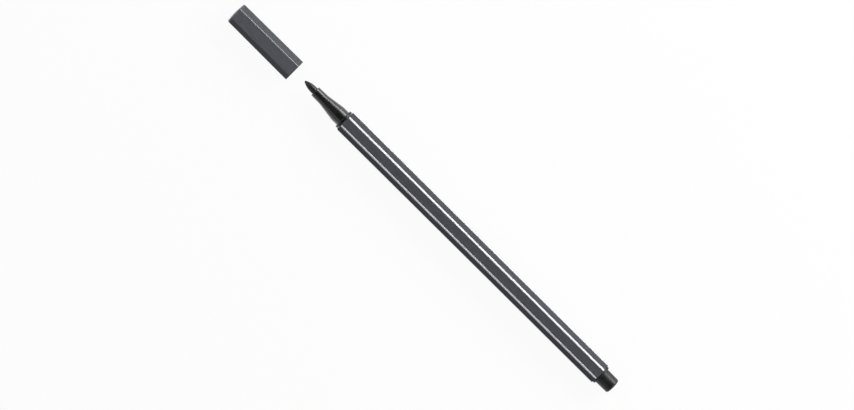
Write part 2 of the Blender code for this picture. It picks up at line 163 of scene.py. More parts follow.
def draw_section(name, corners):
    """Draw (x, radius) corners in millimetres as a line of edges in the plane above the axis."""
    bpy.ops.object.select_all(action="DESELECT")
    bpy.ops.mesh.primitive_plane_add(size=MM)
    piece = bpy.context.object
    piece.name = name
    bpy.ops.object.mode_set(mode="EDIT")
    bpy.ops.mesh.select_mode(type="VERT")
    bpy.ops.mesh.select_all(action="SELECT")
    bpy.ops.mesh.merge(type="CENTER")
    here = Vector((corners[0][0] * MM, 0.0, AXIS_HEIGHT + corners[0][1] * MM))
    bpy.ops.transform.translate(value=here)
    for x, radius in corners[1:]:
        there = Vector((x * MM, 0.0, AXIS_HEIGHT + radius * MM))
        bpy.ops.mesh.extrude_region_move(TRANSFORM_OT_translate={"value": there - here})
        here = there
    done()
    return piece


def close_section(piece):
    """Join the two ends of a drawn section."""
    edit(piece)
    shape = bmesh.from_edit_mesh(piece.data)
    for corner in shape.verts:
        corner.select = len(corner.link_edges) == 1
    shape.select_flush_mode()
    bmesh.update_edit_mesh(piece.data)
    bpy.ops.mesh.edge_face_add()
    done()


def round_corner(piece, x, radius, reach):
    """Round one corner of a drawn section, starting at a reach in millimetres from it."""
    place = Vector((x * MM, 0.0, AXIS_HEIGHT + radius * MM))
    edit(piece)
    choose_corners(piece, lambda co: (co - place).length < MERGE_DISTANCE)
    bpy.ops.mesh.bevel(
        affect="VERTICES", offset_type="OFFSET", offset=reach * MM, segments=ROUNDING_STEPS)
    done()


def spin(piece):
    """Spin a drawn section once round the axis, and close its seam and its poles."""
    edit(piece)
    bpy.ops.mesh.select_all(action="SELECT")
    bpy.ops.mesh.spin(
        steps=SPIN_STEPS, angle=2 * math.pi, center=(0.0, 0.0, AXIS_HEIGHT), axis=(1.0, 0.0, 0.0))
    done()
    tidy(piece)


def tidy(piece):
    """Merge corners that lie on each other and turn all faces outwards."""
    edit(piece)
    bpy.ops.mesh.select_all(action="SELECT")
    bpy.ops.mesh.remove_doubles(threshold=MERGE_DISTANCE)
    bpy.ops.mesh.normals_make_consistent(inside=False)
    done()


print("sections are spun in", SPIN_STEPS, "steps")

# %% [markdown]
# ## Finishing a piece
#
# The last steps are alike for all pieces. Where a piece has holes, they are cut with a second shape. The
# surface is shaded smooth without losing its real edges, and the size is printed, so that a slip shows at
# once.

# %% Cutting, shading and measuring
SMOOTH_ANGLE = math.radians(32)


def smooth(piece):
    """Shade a piece smooth, with its real edges kept sharp and its flats kept flat."""
    pick(piece)
    bpy.ops.object.shade_smooth_by_angle(angle=SMOOTH_ANGLE)
    weighted = piece.modifiers.new("even_flats", "WEIGHTED_NORMAL")
    weighted.keep_sharp = True
    bpy.ops.object.modifier_apply(modifier=weighted.name)


def cut(piece, tool, operation="DIFFERENCE"):
    """Cut one piece with another, and throw the tool away."""
    pick(piece)
    saw = piece.modifiers.new("cut", "BOOLEAN")
    saw.operation = operation
    saw.solver = "EXACT"
    saw.object = tool
    bpy.ops.object.modifier_apply(modifier=saw.name)
    bpy.data.objects.remove(tool, do_unlink=True)


def tell(piece):
    """Print what a finished piece measures."""
    piece.data.calc_loop_triangles()
    size = " x ".join(f"{side / MM:.2f}" for side in piece.dimensions)
    print(f"{piece.name}: {size} mm, {len(piece.data.loop_triangles)} triangles")


print("edges sharper than", round(math.degrees(SMOOTH_ANGLE)), "degrees stay sharp")

# %% [markdown]
# ## The barrel
#
# The barrel is a long hexagonal tube of grey plastic with softly rounded edges. Its corners are eased at
# both ends, by a longer cone at the front than at the rear. A six-sided cylinder is the start, and its long
# edges are bevelled. The function that does so serves the cap as well.

# %% The barrel's hexagon
HEX_SIDES = 6
QUARTER_TURN = math.pi / 2
BARREL_ROUNDING = 0.6
EDGE_STEPS = 8
HALF_CORNER = math.pi / HEX_SIDES


def round_long_edges(piece, length, rounding):
    """In edit mode, round the six long edges of a hexagon to a radius in millimetres."""
    choose_edges(piece, lambda a, b: abs(a.x - b.x) > length / 2)
    bpy.ops.mesh.bevel(
        affect="EDGES", offset_type="OFFSET", offset=rounding * MM * math.tan(HALF_CORNER),
        segments=EDGE_STEPS)


barrel_length = barrel_high.x - barrel_low.x
bpy.ops.object.select_all(action="DESELECT")
bpy.ops.mesh.primitive_cylinder_add(
    vertices=HEX_SIDES, radius=BARREL_FLATS / math.sqrt(3), depth=barrel_length,
    location=((barrel_low.x + barrel_high.x) / 2, 0.0, AXIS_HEIGHT), rotation=(0.0, QUARTER_TURN, 0.0))
barrel = bpy.context.object
barrel.name = "barrel_tube"
bpy.ops.object.transform_apply(location=True, rotation=True, scale=True)

edit(barrel)
round_long_edges(barrel, barrel_length, BARREL_ROUNDING)
done()
print("barrel edges rounded to", BARREL_ROUNDING, "mm")

# %% [markdown]
# The ends come next. A spun shape with a cone at each end is intersected with the hexagon, which eases the
# corners there and leaves the flats alone. Then a round bore is cut through.

# %% The barrel's eased ends and its bore
FRONT_LAND = 0.2
FRONT_EASE = 0.7
REAR_LAND = 0.35
REAR_EASE = 0.25
BARREL_BORE = 3.05
BEYOND = 1.0

front = barrel_low.x / MM
rear = barrel_high.x / MM
flat = BARREL_FLATS / 2 / MM
corner = BARREL_FLATS / math.sqrt(3) / MM
front_face = flat + FRONT_LAND
rear_face = flat + REAR_LAND
front_slope = (corner - front_face) / FRONT_EASE * BEYOND
rear_slope = (corner - rear_face) / REAR_EASE * BEYOND
trim = draw_section("barrel_trim", [
    (front - BEYOND, 0.0),
    (front - BEYOND, front_face - front_slope), (front + BEYOND, front_face + front_slope),
    (rear - BEYOND, rear_face + rear_slope), (rear + BEYOND, rear_face - rear_slope),
    (rear + BEYOND, 0.0)])
spin(trim)
cut(barrel, trim, "INTERSECT")

bore = draw_section("barrel_bore", [
    (front - BEYOND, 0.0), (front - BEYOND, BARREL_BORE),
    (rear + BEYOND, BARREL_BORE), (rear + BEYOND, 0.0)])
spin(bore)
cut(barrel, bore)
smooth(barrel)
tell(barrel)

# %% [markdown]
# ## The nose
#
# The black nose is one moulding: a short tip round the nib, a long cone with soft blends, a round seat for
# the cap, a thin collar against the barrel and a hollow spigot inside it. Its section is drawn once round
# and closed, the blends are bevelled corners, and four thin slots beside the nib let air into the barrel.

# %% The nose's section
NIB_BORE = 1.46
NOSE_TIP = 2.01
NOSE_NECK = 2.11
CAP_SEAT = 3.125
COLLAR = 3.8
SPIGOT = 2.95
SPIGOT_LEAD = 0.4
CHAMBER = 2.25
CHAMBER_DEPTH = 7.5
TIP_LENGTH = 4.55
CONE_LENGTH = 6.84
SEAT_LENGTH = 2.66
COLLAR_THICKNESS = 0.95

tip = nose_low.x / MM
neck = tip + TIP_LENGTH
seat = neck + CONE_LENGTH
collar_front = seat + SEAT_LENGTH
collar_back = collar_front + COLLAR_THICKNESS
spigot_end = nose_high.x / MM
nose = draw_section("nose_section", [
    (tip, NIB_BORE), (tip, NOSE_TIP), (neck, NOSE_NECK), (seat, CAP_SEAT),
    (collar_front, CAP_SEAT), (collar_front, COLLAR), (collar_back, COLLAR), (collar_back, SPIGOT),
    (spigot_end - SPIGOT_LEAD, SPIGOT), (spigot_end, SPIGOT - SPIGOT_LEAD), (spigot_end, CHAMBER),
    (spigot_end - CHAMBER_DEPTH, CHAMBER), (spigot_end - CHAMBER_DEPTH, NIB_BORE)])
close_section(nose)
print("nose from", round(tip, 2), "to", round(spigot_end, 2), "mm")

# %% [markdown]
# The corners of the section are rounded before it is spun, because one corner is easier to pick than a whole
# ring of edges. The air slots are cut by boxes that stand round the axis like spokes.

# %% The nose's blends and air slots
TIP_EDGE = 0.25
BLEND_REACH = 0.45
COLLAR_EDGE = 0.2
INNER_EDGE = 0.06
SLOT_COUNT = 4
SLOT_WIDTH = 0.5
SLOT_DEPTH = 0.28

round_corner(nose, tip, NOSE_TIP, TIP_EDGE)
round_corner(nose, tip, NIB_BORE, INNER_EDGE)
round_corner(nose, neck, NOSE_NECK, BLEND_REACH)
round_corner(nose, seat, CAP_SEAT, BLEND_REACH)
round_corner(nose, collar_front, CAP_SEAT, INNER_EDGE)
round_corner(nose, collar_front, COLLAR, COLLAR_EDGE)
round_corner(nose, collar_back, COLLAR, INNER_EDGE)
spin(nose)


def cut_spokes(piece, count, width, inner, outer, start, end):
    """Cut slots that stand round the axis like spokes, each with a box of its own."""
    along = (start + end) / 2 * MM
    middle = (inner + outer) / 2 * MM
    for number in range(count):
        angle = math.pi * (2 * number + 1) / count
        place = (along, middle * math.cos(angle), AXIS_HEIGHT + middle * math.sin(angle))
        bpy.ops.object.select_all(action="DESELECT")
        bpy.ops.mesh.primitive_cube_add(
            size=MM, location=place, rotation=(angle, 0.0, 0.0), scale=(end - start, outer - inner, width))
        tool = bpy.context.object
        bpy.ops.object.transform_apply(location=True, rotation=True, scale=True)
        cut(piece, tool)


cut_spokes(
    nose, SLOT_COUNT, SLOT_WIDTH, NIB_BORE / 2, NIB_BORE + SLOT_DEPTH, tip - BEYOND,
    spigot_end - CHAMBER_DEPTH / 2)
smooth(nose)
tell(nose)

# %% [markdown]
# ## The nib
#
# The nib is a rod of pressed fibres, ground to a bullet shape that ends in a small round nose. The bullet's
# flank is an arc of a large circle that meets the rod without a kink, so its points are worked out from that
# circle and drawn one by one, and the drawn line is spun.

# %% The nib's section
NIB_RADIUS = 1.36
BULLET_LENGTH = 4.7
NIB_NOSE = 0.45
NIB_TAIL = 1.6
NIB_TAIL_RADIUS = 0.65
FLANK_STEPS = 24
NOSE_STEPS = 8

flank_radius = (NIB_RADIUS ** 2 + BULLET_LENGTH ** 2) / (2 * NIB_RADIUS)
flank_offset = flank_radius - NIB_RADIUS
nose_reach = math.sqrt((flank_radius - NIB_NOSE) ** 2 - flank_offset ** 2)
nib_front = nib_low.x / MM
shoulder = nib_front + NIB_NOSE + nose_reach
meeting = math.atan2(nose_reach, flank_offset)

nib_line = []
for step in range(NOSE_STEPS):
    angle = QUARTER_TURN + (meeting - QUARTER_TURN) * step / NOSE_STEPS
    nib_line.append((shoulder - nose_reach - NIB_NOSE * math.sin(angle), NIB_NOSE * math.cos(angle)))
for step in range(FLANK_STEPS + 1):
    angle = meeting * (1 - step / FLANK_STEPS)
    flank_height = flank_radius * math.cos(angle) - flank_offset
    nib_line.append((shoulder - flank_radius * math.sin(angle), flank_height))
nib_back = nib_high.x / MM
nib_line += [(nib_back - NIB_TAIL, NIB_RADIUS), (nib_back, NIB_TAIL_RADIUS), (nib_back, 0.0)]
nib_line[0] = (nib_front, 0.0)

nib = draw_section("nib_rod", nib_line)
spin(nib)
smooth(nib)
tell(nib)

# %% [markdown]
# ## The plug
#
# The plug closes the back of the barrel. It has a thin flange, a round tail that the cap can be pushed onto,
# a gently domed end, and a hollow spigot inside the barrel with four notches that let it spring.

# %% The plug's section
FLANGE = 3.8
FLANGE_THICKNESS = 0.75
TAIL_TIP = 3.045
TAIL_LENGTH = 6.02
DOME = 0.3
DOME_STEPS = 12
TAIL_EDGE = 0.6
PLUG_CAVITY = 2.05
PLUG_END_WALL = 1.2
NOTCH_COUNT = 4
NOTCH_WIDTH = 1.2
NOTCH_DEPTH = 1.5

plug_front = plug_low.x / MM
plug_back = plug_high.x / MM
flange_back = plug_back - TAIL_LENGTH
flange_front = flange_back - FLANGE_THICKNESS
dome_radius = (TAIL_TIP ** 2 + DOME ** 2) / (2 * DOME)
dome_edge = plug_back - dome_radius + math.sqrt(dome_radius ** 2 - TAIL_TIP ** 2)
dome_turn = math.asin((TAIL_TIP - 2 * TAIL_EDGE) / dome_radius)
dome_line = []
for step in range(DOME_STEPS + 1):
    angle = dome_turn * (1 - step / DOME_STEPS)
    dome_x = plug_back - dome_radius + dome_radius * math.cos(angle)
    dome_line.append((dome_x, dome_radius * math.sin(angle)))

plug = draw_section("end_plug", [
    (plug_back - PLUG_END_WALL, 0.0), (plug_back - PLUG_END_WALL, PLUG_CAVITY),
    (plug_front, PLUG_CAVITY), (plug_front, SPIGOT - SPIGOT_LEAD), (plug_front + SPIGOT_LEAD, SPIGOT),
    (flange_front, SPIGOT), (flange_front, FLANGE), (flange_back, FLANGE), (flange_back, CAP_SEAT),
    (dome_edge, TAIL_TIP)] + dome_line)
round_corner(plug, flange_front, FLANGE, INNER_EDGE)
round_corner(plug, flange_back, FLANGE, COLLAR_EDGE)
round_corner(plug, flange_back, CAP_SEAT, INNER_EDGE)
round_corner(plug, dome_edge, TAIL_TIP, TAIL_EDGE)
round_corner(plug, plug_back - PLUG_END_WALL, PLUG_CAVITY, TAIL_EDGE)
spin(plug)
cut_spokes(
    plug, NOTCH_COUNT, NOTCH_WIDTH, PLUG_CAVITY / 2, SPIGOT + BEYOND, plug_front - BEYOND,
    plug_front + NOTCH_DEPTH)
smooth(plug)
tell(plug)

# %% [markdown]
# ## The cap
#
# The cap is a hexagonal shell that gets a little slimmer towards its closed end, as mouldings must to leave
# their mould. A six-sided cone gives that draft, and the bevel tool rounds its long edges and the rim of its
# mouth.

# %% The cap's outside
CAP_DRAFT = math.radians(0.24)
CAP_ROUNDING = 0.6
CAP_END_ROUNDING = 0.65
CAP_MOUTH_ROUNDING = 0.1
CAP_SWELL = 0.2
SWELL_STEPS = 4

cap_length = cap_high.x - cap_low.x
mouth_flats = cap_high.z - cap_low.z
end_x = cap_low.x + (CAP_SWELL + CAP_END_ROUNDING) * MM
end_flats = mouth_flats - 2 * (cap_high.x - end_x) * math.tan(CAP_DRAFT)
bpy.ops.object.select_all(action="DESELECT")
bpy.ops.mesh.primitive_cone_add(
    vertices=HEX_SIDES, radius1=mouth_flats / math.sqrt(3), radius2=end_flats / math.sqrt(3),
    depth=cap_high.x - end_x, rotation=(0.0, -QUARTER_TURN, 0.0),
    location=((end_x + cap_high.x) / 2, 0.0, AXIS_HEIGHT))
cap = bpy.context.object
cap.name = "cap_body"
bpy.ops.object.transform_apply(location=True, rotation=True, scale=True)

edit(cap)
round_long_edges(cap, cap_length, CAP_ROUNDING)
choose_edges(cap, lambda a, b: min(a.x, b.x) > cap_high.x - MERGE_DISTANCE)
bpy.ops.mesh.bevel(
    affect="EDGES", offset_type="OFFSET", offset=CAP_MOUTH_ROUNDING * MM, segments=ROUNDING_STEPS)
done()
tell(cap)

# %% [markdown]
# The closed end has a rounded rim and swells a little. A bevel that is wider than the roundings it meets
# leaves creases in the corners, so the end face is extruded instead, in small steps, and each step is scaled
# towards the axis. The steps follow a quarter of a circle and then a shallow dome.

# %% The cap's closed end
FACING_END = -0.9

level = end_flats / 2 / MM - CAP_END_ROUNDING
arc = [QUARTER_TURN * step / EDGE_STEPS for step in range(EDGE_STEPS + 1)]
end_line = [(CAP_END_ROUNDING * math.sin(turn), level + CAP_END_ROUNDING * math.cos(turn)) for turn in arc]
for step in range(1, SWELL_STEPS):
    share = step / SWELL_STEPS
    end_line.append((CAP_END_ROUNDING + CAP_SWELL * (1 - (1 - share) ** 2), level * (1 - share)))

edit(cap)
choose_faces(cap, lambda place, normal: normal.x < FACING_END)
for (x, reach), (next_x, next_reach) in zip(end_line, end_line[1:]):
    bpy.ops.mesh.extrude_region_move(TRANSFORM_OT_translate={"value": ((x - next_x) * MM, 0.0, 0.0)})
    shrink = next_reach / reach
    bpy.ops.transform.resize(value=(1.0, shrink, shrink), center_override=(0.0, 0.0, AXIS_HEIGHT))
bpy.ops.mesh.poke(offset=(CAP_END_ROUNDING + CAP_SWELL - end_line[-1][0]) * MM)
done()
tidy(cap)
tell(cap)

# %% [markdown]
# The inside of the cap is a stepped bore: a lead-in at the mouth, the part that grips the nose's seat, a
# cone, the narrower part that holds the seal cup, and an empty pocket behind it. The bore is spun as a
# solid and cut out.

# %% The cap's inside
CAP_BORE = 3.225
SEAL_SOCKET = 2.88
CAP_LEAD = 0.25
SOCKET_CONE = 1.0
CAP_POCKET = 2.28
SOCKET_GAP = 0.1
CAP_END_WALL = 1.2

mouth = cap_high.x / MM
socket = seal_high.x / MM
socket_end = seal_low.x / MM - SOCKET_GAP
pocket_end = cap_low.x / MM + CAP_END_WALL
hollow = draw_section("cap_hollow", [
    (mouth + BEYOND, 0.0), (mouth + BEYOND, CAP_BORE + CAP_LEAD), (mouth, CAP_BORE + CAP_LEAD),
    (mouth - CAP_LEAD, CAP_BORE), (socket + SOCKET_CONE, CAP_BORE), (socket, SEAL_SOCKET),
    (socket_end, SEAL_SOCKET), (socket_end, CAP_POCKET), (pocket_end, CAP_POCKET), (pocket_end, 0.0)])
spin(hollow)
cut(cap, hollow)
smooth(cap)
tell(cap)

# %% [markdown]
# ## The seal cup
#
# Inside the cap sits a small cup of soft pale plastic. It closes round the nose's tip and keeps the nib from
# drying. Its section is drawn from the closed bottom along the outside and back along the inside.

# %% The seal cup's section
SEAL_OUTER = 2.78
SEAL_BORE = 2.23
SEAL_FLOOR = 0.6
SEAL_EDGE = 0.2

cup_mouth = seal_high.x / MM
cup_back = seal_low.x / MM
cup = draw_section("cap_seal_cup", [
    (cup_back, 0.0), (cup_back, SEAL_OUTER), (cup_mouth, SEAL_OUTER), (cup_mouth, SEAL_BORE),
    (cup_back + SEAL_FLOOR, SEAL_BORE), (cup_back + SEAL_FLOOR, 0.0)])
round_corner(cup, cup_back, SEAL_OUTER, SEAL_EDGE)
round_corner(cup, cup_mouth, SEAL_BORE, SEAL_EDGE)
round_corner(cup, cup_mouth, SEAL_OUTER, INNER_EDGE)
spin(cup)
smooth(cup)
tell(cup)

# %% [markdown]
# ## Node helpers
#
# Materials are made of nodes, and most of the work is adding a node and wiring it. A colour is easiest to
# read as the 8-bit values of a screen, while shaders want scene-linear light, so a small function turns one
# into the other.


# %% Adding and wiring nodes
def linear(colour):
    """Turn 8-bit screen values into a scene-linear colour with full alpha, by the curve that screens use."""
    shares = [value / 255 for value in colour]
    light = [s / 12.92 if s <= 0.04045 else ((s + 0.055) / 1.055) ** 2.4 for s in shares]
    return (*light, 1.0)


def wire(tree, source, target):
    """Wire a node's output to another node's input, or set the input to a plain value."""
    if hasattr(source, "is_output"):
        tree.links.new(source, target)
    else:
        target.default_value = source


def maths(tree, operation, first, second=0.0, third=0.0):
    """Add a Math node and return its output."""
    node = tree.nodes.new("ShaderNodeMath")
    node.operation = operation
    for socket_in, value in zip(node.inputs, (first, second, third)):
        wire(tree, value, socket_in)
    return node.outputs[0]


def remap(tree, value, low, high, to_low=0.0, to_high=1.0, smooth_step=False):
    """Add a Map Range node that turns one span of values into another, and return its output."""
    node = tree.nodes.new("ShaderNodeMapRange")
    node.interpolation_type = "SMOOTHSTEP" if smooth_step else "LINEAR"
    for name, number in (("Value", value), ("From Min", low), ("From Max", high),
                         ("To Min", to_low), ("To Max", to_high)):
        wire(tree, number, node.inputs[name])
    return node.outputs["Result"]


def blend_colours(tree, share, first, second):
    """Add a Mix node for colours and return its output."""
    node = tree.nodes.new("ShaderNodeMix")
    node.data_type = "RGBA"
    wire(tree, share, node.inputs["Factor"])
    first_colour, second_colour = (s for s in node.inputs if s.type == "RGBA")
    wire(tree, first, first_colour)
    wire(tree, second, second_colour)
    return next(s for s in node.outputs if s.type == "RGBA")


def two_tones(tree, share, first, second):
    """Blend two colours that are given as 8-bit screen values, and return the output."""
    return blend_colours(tree, share, linear(first), linear(second))


def between(tree, value, low, high):
    """Return 1 where a value lies between two limits, and 0 elsewhere."""
    return maths(
        tree, "MULTIPLY", maths(tree, "GREATER_THAN", value, low), maths(tree, "LESS_THAN", value, high))


print("colour and number helpers ready")

# %% [markdown]
# Textures, groups and materials need helpers too. The noise and mapping nodes give uneven surfaces, a group
# keeps nodes that several materials share, and a bump turns a height into small slopes of the surface.

# %% Textures, groups and materials
NOISE_MIDDLE = 0.5


def noise(tree, vector, scale, detail=2.0, roughness=0.5):
    """Add a Noise Texture and return its value, which lies about the noise's middle."""
    node = tree.nodes.new("ShaderNodeTexNoise")
    wire(tree, vector, node.inputs["Vector"])
    for name, number in (("Scale", scale), ("Detail", detail), ("Roughness", roughness)):
        wire(tree, number, node.inputs[name])
    return node.outputs[0]


def stretch(tree, vector, scale):
    """Add a Mapping node that stretches coordinates, and return them."""
    node = tree.nodes.new("ShaderNodeMapping")
    wire(tree, vector, node.inputs["Vector"])
    node.inputs["Scale"].default_value = scale
    return node.outputs[0]


def new_group(name, inputs, outputs):
    """Start a shader node group with named inputs and outputs, and return it with its two ends."""
    group = bpy.data.node_groups.new(name, "ShaderNodeTree")
    for label, kind, value in inputs:
        socket_in = group.interface.new_socket(label, in_out="INPUT", socket_type=kind)
        if value is not None:
            socket_in.default_value = value
    for label, kind in outputs:
        group.interface.new_socket(label, in_out="OUTPUT", socket_type=kind)
    return group, group.nodes.new("NodeGroupInput"), group.nodes.new("NodeGroupOutput")


def place_group(tree, group, **values):
    """Put a node group into a material, with its own values, and return the node."""
    node = tree.nodes.new("ShaderNodeGroup")
    node.node_tree = group
    for label, value in values.items():
        wire(tree, value, node.inputs[label.replace("_", " ")])
    return node


def new_material(name):
    """Start a material and return it with its tree, its shader and its object coordinates."""
    material = bpy.data.materials.new(name)
    material.use_nodes = True
    tree = material.node_tree
    shader = tree.nodes["Principled BSDF"]
    coords = tree.nodes.new("ShaderNodeTexCoord").outputs["Object"]
    return material, tree, shader, coords


def add_bump(tree, shader, height, strength, depth):
    """Turn a height into a bump on the shader's surface, with a depth in millimetres."""
    node = tree.nodes.new("ShaderNodeBump")
    node.inputs["Strength"].default_value = strength
    node.inputs["Distance"].default_value = depth * MM
    wire(tree, height, node.inputs["Height"])
    wire(tree, node.outputs[0], shader.inputs["Normal"])


print("texture and material helpers ready")

# %% [markdown]
# ## Grain that every moulding has
#
# A plastic moulding copies the fine sandblasted skin of its mould, and handling leaves patches that are a
# little shinier. Both effects serve every plastic of this pen, so they are made once as a node group with
# named sockets. Its height feeds a Bump node, its patches vary the roughness, and its tone varies the colour
# by a few parts in a hundred.

# %% The moulded grain group
VALUE = "NodeSocketFloat"
VECTOR = "NodeSocketVector"
GRAIN_SCALE = 9000.0
PATCH_SCALE = 110.0
PATCH_SPAN = (0.35, 0.65)
CLOUDS_PER_PATCH = 7.0
CLOUD_STRETCH = (0.35, 1.0, 1.0)
CLOUD_SPAN = (0.3, 0.7)

moulded_grain, ends_in, ends_out = new_group(
    "moulded_grain",
    [("Vector", VECTOR, None), ("Grain Scale", VALUE, GRAIN_SCALE), ("Patch Scale", VALUE, PATCH_SCALE)],
    [("Height", VALUE), ("Patches", VALUE), ("Tone", VALUE)])
place = ends_in.outputs["Vector"]
patch_scale = ends_in.outputs["Patch Scale"]
fine = noise(moulded_grain, place, ends_in.outputs["Grain Scale"], detail=2.0, roughness=0.6)
patchy = noise(moulded_grain, place, patch_scale, detail=4.0, roughness=0.55)
cloud_place = stretch(moulded_grain, place, CLOUD_STRETCH)
cloud_scale = maths(moulded_grain, "MULTIPLY", patch_scale, CLOUDS_PER_PATCH)
cloudy = noise(moulded_grain, cloud_place, cloud_scale, detail=3.0, roughness=0.6)
wire(moulded_grain, fine, ends_out.inputs["Height"])
wire(moulded_grain, remap(moulded_grain, patchy, *PATCH_SPAN), ends_out.inputs["Patches"])
wire(moulded_grain, remap(moulded_grain, cloudy, *CLOUD_SPAN), ends_out.inputs["Tone"])
print("group moulded_grain:", [s.name for s in moulded_grain.interface.items_tree])

# %% [markdown]
# ## Knowing how far the next edge is
#
# Barrel and cap are hexagons, and on both something happens along the edges: the barrel has printed stripes
# there, and the cap is rubbed a little smoother. This group turns a place on the surface into its distance
# from the nearest long edge. The angle round the axis is folded into one sixth of a turn, so one
# calculation serves all six sides, and a tapered hexagon works as well as a straight one. The distance of
# the flat from the axis comes out too, because it tells the outside of a tube from its bore.

# %% The hexagon edge group
SIXTH_TURN = math.pi / 3
SIDE_MIDDLE = 0.5

hexagon_edges, ends_in, ends_out = new_group(
    "hexagon_edges",
    [("Vector", VECTOR, None), ("Axis Height", VALUE, AXIS_HEIGHT)],
    [("Edge Distance", VALUE), ("Flat Distance", VALUE), ("Along", VALUE)])
apart = hexagon_edges.nodes.new("ShaderNodeSeparateXYZ")
wire(hexagon_edges, ends_in.outputs["Vector"], apart.inputs[0])
across = apart.outputs["Y"]
above = maths(hexagon_edges, "SUBTRACT", apart.outputs["Z"], ends_in.outputs["Axis Height"])
turn = maths(hexagon_edges, "ARCTAN2", above, across)
sixths = maths(hexagon_edges, "FRACT", maths(hexagon_edges, "DIVIDE", turn, SIXTH_TURN))
folded = maths(
    hexagon_edges, "MULTIPLY", maths(hexagon_edges, "SUBTRACT", sixths, SIDE_MIDDLE), SIXTH_TURN)
reach_out = maths(
    hexagon_edges, "SQRT",
    maths(hexagon_edges, "MULTIPLY_ADD", across, across, maths(hexagon_edges, "MULTIPLY", above, above)))
to_flat = maths(hexagon_edges, "MULTIPLY", reach_out, maths(hexagon_edges, "COSINE", folded))
aside = maths(
    hexagon_edges, "ABSOLUTE",
    maths(hexagon_edges, "MULTIPLY", reach_out, maths(hexagon_edges, "SINE", folded)))
half_side = maths(hexagon_edges, "MULTIPLY", to_flat, math.tan(HALF_CORNER))
wire(
    hexagon_edges, maths(hexagon_edges, "SUBTRACT", half_side, aside), ends_out.inputs["Edge Distance"])
wire(hexagon_edges, to_flat, ends_out.inputs["Flat Distance"])
wire(hexagon_edges, apart.outputs["X"], ends_out.inputs["Along"])
print("group hexagon_edges:", len(hexagon_edges.nodes), "nodes")

# %% [markdown]
# ## The barrel's plastic and its printed stripes
#
# The barrel is dull grey plastic. Its reflection is set very low, so that the dark lower faces don't mirror
# the white floor. A white stripe is printed over each of its six edges and stops just short of both ends. The
# stripe is a mask made from the edge distance: inside it the colour turns white, the surface a little
# smoother, and the height rises by the thickness of the ink. A little noise on the distance gives the stripe
# the slightly soft edge of real print.

# %% The barrel's material
BARREL_GREY = (76, 77, 82)
BARREL_GREY_LIGHT = (83, 84, 89)
STRIPE_WHITE = (244, 245, 249)
STRIPE_WHITE_WORN = (237, 239, 245)
STRIPE_HALF_WIDTH = 0.44
STRIPE_SOFTNESS = 0.035
STRIPE_WOBBLE = 0.05
STRIPE_END = 0.25
STRIPE_GLOSS = 0.06
PRINT_NOISE_SCALE = 1800.0
BARREL_ROUGHNESS = (0.46, 0.38)
BARREL_REFLECTION = 0.02
GREY_GRAIN_STRENGTH = 0.25
GREY_GRAIN_DEPTH = 0.02

barrel_look, tree, shader, coords = new_material("barrel_satin_grey")
edges = place_group(tree, hexagon_edges, Vector=coords)
grain = place_group(tree, moulded_grain, Vector=coords)
print_noise = maths(tree, "SUBTRACT", noise(tree, coords, PRINT_NOISE_SCALE), NOISE_MIDDLE)
wobble = maths(tree, "MULTIPLY", print_noise, STRIPE_WOBBLE * MM)
edge_distance = maths(tree, "ADD", edges.outputs["Edge Distance"], wobble)
fade_start = (STRIPE_HALF_WIDTH - STRIPE_SOFTNESS) * MM
fade_end = (STRIPE_HALF_WIDTH + STRIPE_SOFTNESS) * MM
on_edge = remap(tree, edge_distance, fade_start, fade_end, 1.0, 0.0, smooth_step=True)
along_barrel = between(
    tree, edges.outputs["Along"], barrel_low.x + STRIPE_END * MM, barrel_high.x - STRIPE_END * MM)
stripe = maths(tree, "MULTIPLY", on_edge, along_barrel)

grey = two_tones(tree, grain.outputs["Tone"], BARREL_GREY, BARREL_GREY_LIGHT)
white = two_tones(tree, grain.outputs["Patches"], STRIPE_WHITE_WORN, STRIPE_WHITE)
wire(tree, blend_colours(tree, stripe, grey, white), shader.inputs["Base Color"])
plastic_rough = remap(tree, grain.outputs["Patches"], 0.0, 1.0, *BARREL_ROUGHNESS)
wire(tree, maths(tree, "MULTIPLY_ADD", stripe, -STRIPE_GLOSS, plastic_rough), shader.inputs["Roughness"])
shader.inputs["Specular IOR Level"].default_value = BARREL_REFLECTION
surface_height = maths(tree, "ADD", grain.outputs["Height"], stripe)
add_bump(tree, shader, surface_height, GREY_GRAIN_STRENGTH, GREY_GRAIN_DEPTH)
print("stripes", 2 * STRIPE_HALF_WIDTH, "mm wide round each edge")

# %% [markdown]
# ## The cap's plastic
#
# The cap is moulded in a slightly lighter grey than the barrel. Handling has polished its long edges and the
# rim of its closed end, so the grain fades out there and a coat adds the gloss. A coat suits this better than
# a change of the plastic itself, because its weight can follow a mask. The cap shares both node groups with
# the barrel and only has values of its own.

# %% The cap's material
CAP_GREY = (87, 88, 93)
CAP_GREY_LIGHT = (93, 94, 100)
RUBBED_WIDTH = 0.5
RUBBED_DEPTH = 0.35
RUBBED_END = 1.1
RUBBED_GLOSS = 0.16
RUBBED_COAT_ROUGHNESS = 0.24
RUBBED_COAT_INDEX = 1.85
CAP_GRAIN_SCALE = 7000.0
CAP_PATCH_SCALE = 140.0
CAP_ROUGHNESS = (0.45, 0.38)
CAP_REFLECTION = 0.015

